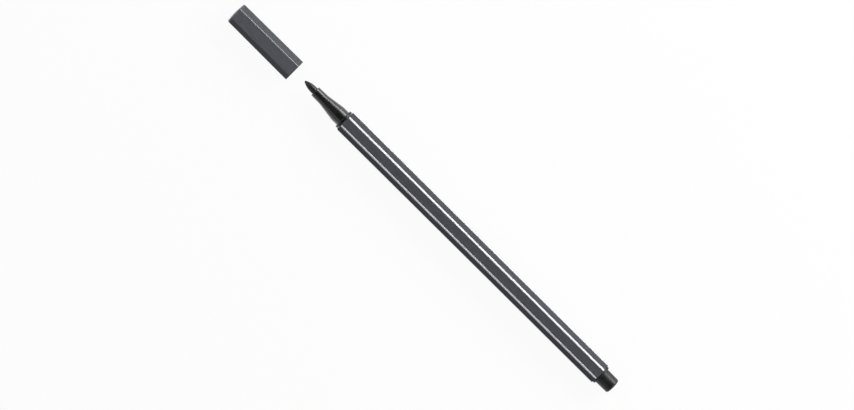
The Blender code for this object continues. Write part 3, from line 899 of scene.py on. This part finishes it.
cap_look, tree, shader, coords = new_material("cap_satin_grey")
edges = place_group(tree, hexagon_edges, Vector=coords)
grain = place_group(
    tree, moulded_grain, Vector=coords, Grain_Scale=CAP_GRAIN_SCALE, Patch_Scale=CAP_PATCH_SCALE)
rubbed_edge = remap(
    tree, edges.outputs["Edge Distance"], 0.0, RUBBED_WIDTH * MM, 1.0, 0.0, smooth_step=True)
rubbed_end = remap(
    tree, edges.outputs["Along"], cap_low.x + CAP_SWELL * MM, cap_low.x + RUBBED_END * MM,
    1.0, 0.0, smooth_step=True)
outside = maths(tree, "GREATER_THAN", edges.outputs["Flat Distance"], mouth_flats / 2 - RUBBED_DEPTH * MM)
rubbed = maths(tree, "MAXIMUM", maths(tree, "MULTIPLY", rubbed_edge, outside), rubbed_end)
wire(tree, two_tones(tree, grain.outputs["Tone"], CAP_GREY, CAP_GREY_LIGHT), shader.inputs["Base Color"])
plastic_rough = remap(tree, grain.outputs["Patches"], 0.0, 1.0, *CAP_ROUGHNESS)
wire(tree, maths(tree, "MULTIPLY_ADD", rubbed, -RUBBED_GLOSS, plastic_rough), shader.inputs["Roughness"])
wire(tree, rubbed, shader.inputs["Coat Weight"])
shader.inputs["Coat Roughness"].default_value = RUBBED_COAT_ROUGHNESS
shader.inputs["Coat IOR"].default_value = RUBBED_COAT_INDEX
shader.inputs["Specular IOR Level"].default_value = CAP_REFLECTION
unrubbed = maths(tree, "SUBTRACT", 1.0, rubbed)
surface_height = maths(tree, "MULTIPLY", grain.outputs["Height"], unrubbed)
add_bump(tree, shader, surface_height, GREY_GRAIN_STRENGTH, GREY_GRAIN_DEPTH)
print("cap edges rubbed over", RUBBED_WIDTH, "mm")

# %% [markdown]
# ## The black mouldings
#
# Nose and plug are nearly black plastic with clear reflections. A coat stands for the polished skin that the
# mould gives them: the nose has a full one, the plug a weak one, and the collar and the flange, which are
# satin, have none. One function makes both materials, because they differ only in their values.


# %% The nose's and the plug's materials
SKIN_INDEX = 1.45
SKIN_ROUGHNESS = 0.26
BLACK_REFLECTION = 0.5
BLACK_GRAIN_SCALE = 12000.0
BLACK_PATCH_SCALE = 260.0
BLACK_GRAIN_STRENGTH = 0.12
BLACK_GRAIN_DEPTH = 0.01


def black_moulding(name, colour, light_colour, roughness, skin, ring):
    """A black plastic with a faint grain and a polished skin, which a ring along the pen lacks."""
    material, tree, shader, coords = new_material(name)
    grain = place_group(
        tree, moulded_grain, Vector=coords, Grain_Scale=BLACK_GRAIN_SCALE, Patch_Scale=BLACK_PATCH_SCALE)
    wire(tree, two_tones(tree, grain.outputs["Tone"], colour, light_colour), shader.inputs["Base Color"])
    wire(tree, remap(tree, grain.outputs["Patches"], 0.0, 1.0, *roughness), shader.inputs["Roughness"])
    along = tree.nodes.new("ShaderNodeSeparateXYZ")
    wire(tree, coords, along.inputs[0])
    in_ring = between(tree, along.outputs["X"], ring[0] * MM, ring[1] * MM)
    wire(tree, maths(tree, "MULTIPLY_ADD", in_ring, -skin, skin), shader.inputs["Coat Weight"])
    shader.inputs["Coat IOR"].default_value = SKIN_INDEX
    shader.inputs["Coat Roughness"].default_value = SKIN_ROUGHNESS
    shader.inputs["Specular IOR Level"].default_value = BLACK_REFLECTION
    add_bump(tree, shader, grain.outputs["Height"], BLACK_GRAIN_STRENGTH, BLACK_GRAIN_DEPTH)
    return material


nose_look = black_moulding(
    "nose_polished_black", colour=(9, 8, 10), light_colour=(13, 12, 14), roughness=(0.4, 0.33),
    skin=1.0, ring=(collar_front, collar_back))
plug_look = black_moulding(
    "plug_polished_black", colour=(12, 11, 13), light_colour=(17, 16, 18), roughness=(0.48, 0.42),
    skin=0.1, ring=(flange_front, flange_back))
print("black materials:", nose_look.name, plug_look.name)

# %% [markdown]
# ## Fibre
#
# Nib and ink core are bundles of fibres that run along the pen. Noise that is stretched along X gives long
# streaks; they colour the surface and roughen it. The group gives the streaks and a finer fuzz, and each
# material has its own ink colour.

# %% The fibre group
FIBRE_SCALE = 6000.0
STRAND_STRETCH = (0.06, 1.0, 1.0)
STRAND_SPAN = (0.32, 0.68)
FUZZ_STRETCH = (0.3, 1.0, 1.0)
FUZZ_PER_STRAND = 2.0
FUZZ_SHARE = 0.5

fibre_streaks, ends_in, ends_out = new_group(
    "fibre_streaks",
    [("Vector", VECTOR, None), ("Fibre Scale", VALUE, FIBRE_SCALE)],
    [("Streaks", VALUE), ("Height", VALUE)])
strand_place = stretch(fibre_streaks, ends_in.outputs["Vector"], STRAND_STRETCH)
strands = noise(fibre_streaks, strand_place, ends_in.outputs["Fibre Scale"], detail=3.0, roughness=0.65)
fuzz_place = stretch(fibre_streaks, ends_in.outputs["Vector"], FUZZ_STRETCH)
fuzz_scale = maths(fibre_streaks, "MULTIPLY", ends_in.outputs["Fibre Scale"], FUZZ_PER_STRAND)
fuzz = noise(fibre_streaks, fuzz_place, fuzz_scale, detail=2.0, roughness=0.6)
fibre_height = maths(fibre_streaks, "MULTIPLY_ADD", fuzz, FUZZ_SHARE, strands)
wire(fibre_streaks, remap(fibre_streaks, strands, *STRAND_SPAN), ends_out.inputs["Streaks"])
wire(fibre_streaks, fibre_height, ends_out.inputs["Height"])
print("group fibre_streaks:", len(fibre_streaks.nodes), "nodes")

# %% [markdown]
# The nib is soaked with dark ink and pressed smooth, so it shines a little. The core is looser, paler and
# quite dull.

# %% The nib's and the core's materials
FIBRE_STRENGTH = 0.6
FIBRE_DEPTH = 0.04


def fibre_material(name, dark, light, roughness, reflection):
    """A bundle of inked fibres."""
    material, tree, shader, coords = new_material(name)
    fibres = place_group(tree, fibre_streaks, Vector=coords)
    streaks = fibres.outputs["Streaks"]
    wire(tree, two_tones(tree, streaks, dark, light), shader.inputs["Base Color"])
    wire(tree, remap(tree, streaks, 0.0, 1.0, *roughness), shader.inputs["Roughness"])
    add_bump(tree, shader, fibres.outputs["Height"], FIBRE_STRENGTH, FIBRE_DEPTH)
    shader.inputs["Specular IOR Level"].default_value = reflection
    return material


nib_look = fibre_material(
    "nib_inked_fibre", dark=(17, 16, 19), light=(32, 31, 35), roughness=(0.44, 0.34), reflection=0.6)
core_look = fibre_material(
    "core_inked_fibre", dark=(44, 44, 49), light=(74, 74, 80), roughness=(0.95, 0.8), reflection=0.1)
print("fibre materials:", nib_look.name, core_look.name)

# %% [markdown]
# ## Seal and film
#
# The seal cup is soft natural plastic, milky and pale. The film round the ink core is thin and clear and lies
# inside the closed barrel, where nobody sees it; it still gets a material with a little crinkle.

# %% The pale materials
SEAL_PALE = (214, 214, 209)
SEAL_PALE_LIGHT = (224, 224, 220)
SEAL_GRAIN_SCALE = 8000.0
SEAL_PATCH_SCALE = 220.0
SEAL_ROUGHNESS = (0.52, 0.42)
FILM_TINT = (196, 199, 204)
FILM_TINT_LIGHT = (214, 217, 221)
CRINKLE_SCALE = 1500.0
CRINKLE_STRETCH = (0.4, 1.0, 1.0)
CRINKLE_SPAN = (0.3, 0.7)
FILM_ROUGHNESS = (0.15, 0.3)
FILM_CLEARNESS = 0.6

seal_look, tree, shader, coords = new_material("seal_milky_plastic")
grain = place_group(
    tree, moulded_grain, Vector=coords, Grain_Scale=SEAL_GRAIN_SCALE, Patch_Scale=SEAL_PATCH_SCALE)
wire(tree, two_tones(tree, grain.outputs["Tone"], SEAL_PALE, SEAL_PALE_LIGHT), shader.inputs["Base Color"])
wire(tree, remap(tree, grain.outputs["Patches"], 0.0, 1.0, *SEAL_ROUGHNESS), shader.inputs["Roughness"])

film_look, tree, shader, coords = new_material("film_clear")
crinkle = noise(tree, stretch(tree, coords, CRINKLE_STRETCH), CRINKLE_SCALE, detail=3.0)
wire(tree, two_tones(tree, crinkle, FILM_TINT, FILM_TINT_LIGHT), shader.inputs["Base Color"])
wire(tree, remap(tree, crinkle, *CRINKLE_SPAN, *FILM_ROUGHNESS), shader.inputs["Roughness"])
shader.inputs["Transmission Weight"].default_value = FILM_CLEARNESS
print("pale materials:", seal_look.name, film_look.name)

# %% [markdown]
# ## Putting each piece on its body
#
# A finer piece hides the solid that it stands for, gets its new material, and moves with the body that
# the solid belongs to: the pen, or the cap that slides along it. The ink core and its film stay as they are
# and only get their new materials.

# %% Dress the pen
DRESSING = (
    (barrel, barrel_look, "pen", "barrel", "barrel_plastic"),
    (nose, nose_look, "pen", "front_section", "nose_plastic"),
    (nib, nib_look, "pen", "fibre_nib", "nib_fibre"),
    (plug, plug_look, "pen", "rear_plug", "plug_plastic"),
    (cap, cap_look, "cap", "cap_shell", "cap_plastic"),
    (cup, seal_look, "cap", "cap_inner_seal", "seal_plastic"),
)
for piece, look, body, node, finish in DRESSING:
    piece.data.materials.clear()
    piece.data.materials.append(look)
    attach(piece, body)
    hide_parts(node)
for node, look in (("ink_reservoir", core_look), ("reservoir_film", film_look)):
    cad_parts[node].data.materials.clear()
    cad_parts[node].data.materials.append(look)
print(len(DRESSING), "pieces dressed")

# %% [markdown]
# ## Floor
#
# The pen lies on a pale floor, and the background of the picture is white. A lit surface alone renders a
# little grey, so most of what the camera sees of the floor is plain white light of strength 1. Reflections
# and clear pieces show the same white. The rest is the lit surface, which keeps a faint soft shadow beside
# the pen. The light that the floor scatters back at the pen comes from a darker grey, because the picture
# shows the lower sides of the pen dark. The floor is very wide, so that its far edge is hard to see in low
# views.

# %% The floor
FLOOR_SIZE = 40.0
FLOOR_PALE = (250, 250, 250)
FLOOR_BOUNCE = (140, 140, 140)
WHITE_SHARE = 0.93


def seen_rays(tree):
    """Return 1 for rays from the camera and for those that a glossy or clear surface sends on."""
    rays = tree.nodes.new("ShaderNodeLightPath")
    mirrored = maths(tree, "MAXIMUM", rays.outputs["Is Glossy Ray"], rays.outputs["Is Transmission Ray"])
    return maths(tree, "MAXIMUM", rays.outputs["Is Camera Ray"], mirrored)


bpy.ops.object.select_all(action="DESELECT")
bpy.ops.mesh.primitive_plane_add(size=FLOOR_SIZE, location=(0.0, 0.0, solid_low.z))
floor = bpy.context.object
floor.name = "floor"

floor_look = bpy.data.materials.new("floor_white")
floor_look.use_nodes = True
tree = floor_look.node_tree
tree.nodes.clear()
seen = seen_rays(tree)
surface = tree.nodes.new("ShaderNodeBsdfDiffuse")
wire(tree, two_tones(tree, seen, FLOOR_BOUNCE, FLOOR_PALE), surface.inputs["Color"])
glow = tree.nodes.new("ShaderNodeEmission")
both = tree.nodes.new("ShaderNodeMixShader")
wire(tree, maths(tree, "MULTIPLY", seen, WHITE_SHARE), both.inputs[0])
wire(tree, surface.outputs[0], both.inputs[1])
wire(tree, glow.outputs[0], both.inputs[2])
result = tree.nodes.new("ShaderNodeOutputMaterial")
wire(tree, both.outputs[0], result.inputs["Surface"])
floor.data.materials.append(floor_look)
print("floor at", round(solid_low.z / MM, 3), "mm")

# %% [markdown]
# ## Light
#
# In the picture the faces towards the upper right are the lightest, and the black nose has one clear band
# of reflection on that side. One long soft lamp that stands low on the +Y side gives both. A weak lamp on the
# other side fills the shadows, and two small lamps beyond the ends of the pen light its upper faces from
# where those faces don't mirror them.

# %% The lamps
AIM = Vector((0.0, 0.0, AXIS_HEIGHT))


def soft_lamp(name, place, width, height, power):
    """A rectangular lamp at a place, turned towards the pen."""
    bpy.ops.object.light_add(type="AREA", location=place)
    lamp = bpy.context.object
    lamp.name = name
    lamp.data.shape = "RECTANGLE"
    lamp.data.size = width
    lamp.data.size_y = height
    lamp.data.energy = power
    lamp.rotation_euler = (AIM - lamp.location).to_track_quat("-Z", "Y").to_euler()
    return lamp


soft_lamp("key_lamp", place=(0.13, 0.625, 0.315), width=0.9, height=0.3, power=6.45)
soft_lamp("fill_lamp", place=(0.0, -0.82, 0.57), width=1.2, height=0.5, power=1.3)
soft_lamp("front_lamp", place=(-0.72, 0.0, 0.56), width=0.4, height=0.4, power=1.85)
soft_lamp("rear_lamp", place=(0.72, 0.0, 0.56), width=0.4, height=0.4, power=2.0)

# %% [markdown]
# The sky is dim, and a little lighter lower down. Just over the horizon a narrow band of it carries on the
# floor's white, for the camera, for reflections and for clear pieces. The height of a direction, from 0 at
# the horizon to 1 overhead, tells one part of the sky from the next.

# %% The sky
SKY_LOW = 0.2
SKY_MIDDLE = 0.1
SKY_TOP = 0.025
LOW_TO_MIDDLE = (0.05, 0.3)
MIDDLE_TO_TOP = (0.3, 0.75)
WHITE_BAND_END = (0.08, 0.12)
SKY_WHITE = 1.0


def plain_grey(level):
    """A grey of a scene-linear level, with full alpha."""
    return (level, level, level, 1.0)


world = bpy.data.worlds.new("studio")
bpy.context.scene.world = world
world.use_nodes = True
tree = world.node_tree
sky = tree.nodes["Background"]
heading = tree.nodes.new("ShaderNodeTexCoord")
apart = tree.nodes.new("ShaderNodeSeparateXYZ")
wire(tree, heading.outputs["Generated"], apart.inputs[0])
height = apart.outputs["Z"]
upward = remap(tree, height, *LOW_TO_MIDDLE, smooth_step=True)
overhead = remap(tree, height, *MIDDLE_TO_TOP, smooth_step=True)
low_sky = blend_colours(tree, upward, plain_grey(SKY_LOW), plain_grey(SKY_MIDDLE))
dim_sky = blend_colours(tree, overhead, low_sky, plain_grey(SKY_TOP))
in_band = remap(tree, height, *WHITE_BAND_END, 1.0, 0.0, smooth_step=True)
white_band = maths(tree, "MULTIPLY", seen_rays(tree), in_band)
wire(tree, blend_colours(tree, white_band, dim_sky, plain_grey(SKY_WHITE)), sky.inputs["Color"])
print("sky from", SKY_LOW, "low down to", SKY_TOP, "overhead")

# %% [markdown]
# ## Camera
#
# The picture looks down on the pen, which runs from the upper left to the lower right. The camera stands
# over the nose, a little more than a metre up, so the end of the plug bulges towards the lower right. It is
# turned about its own axis by the slant of the pen, and leans over to the upper right by a little more than
# two degrees, because the faces on that side show slightly more than the others.

# %% The camera
SLANT = math.radians(44.89)
LEAN = math.radians(2.3)
PITCH = math.radians(2.7)
CAMERA_DISTANCE = 1.2
FRAME_WIDTH = 0.3074
SENSOR_WIDTH = 36.0
CENTRE_ALONG = -22.52
CENTRE_ACROSS = -0.7

frame_centre = Vector((CENTRE_ALONG * MM, CENTRE_ACROSS * MM, AXIS_HEIGHT))
bpy.ops.object.camera_add()
camera = bpy.context.object
camera.rotation_mode = "ZXY"
camera.rotation_euler = (-LEAN, -PITCH, SLANT)
camera.location = frame_centre + camera.rotation_euler.to_matrix() @ Vector((0.0, 0.0, CAMERA_DISTANCE))
camera.data.sensor_width = SENSOR_WIDTH
camera.data.lens = SENSOR_WIDTH * CAMERA_DISTANCE / FRAME_WIDTH
bpy.context.scene.camera = camera
bpy.context.scene.view_settings.view_transform = "Standard"
print("lens", round(camera.data.lens, 1), "mm")
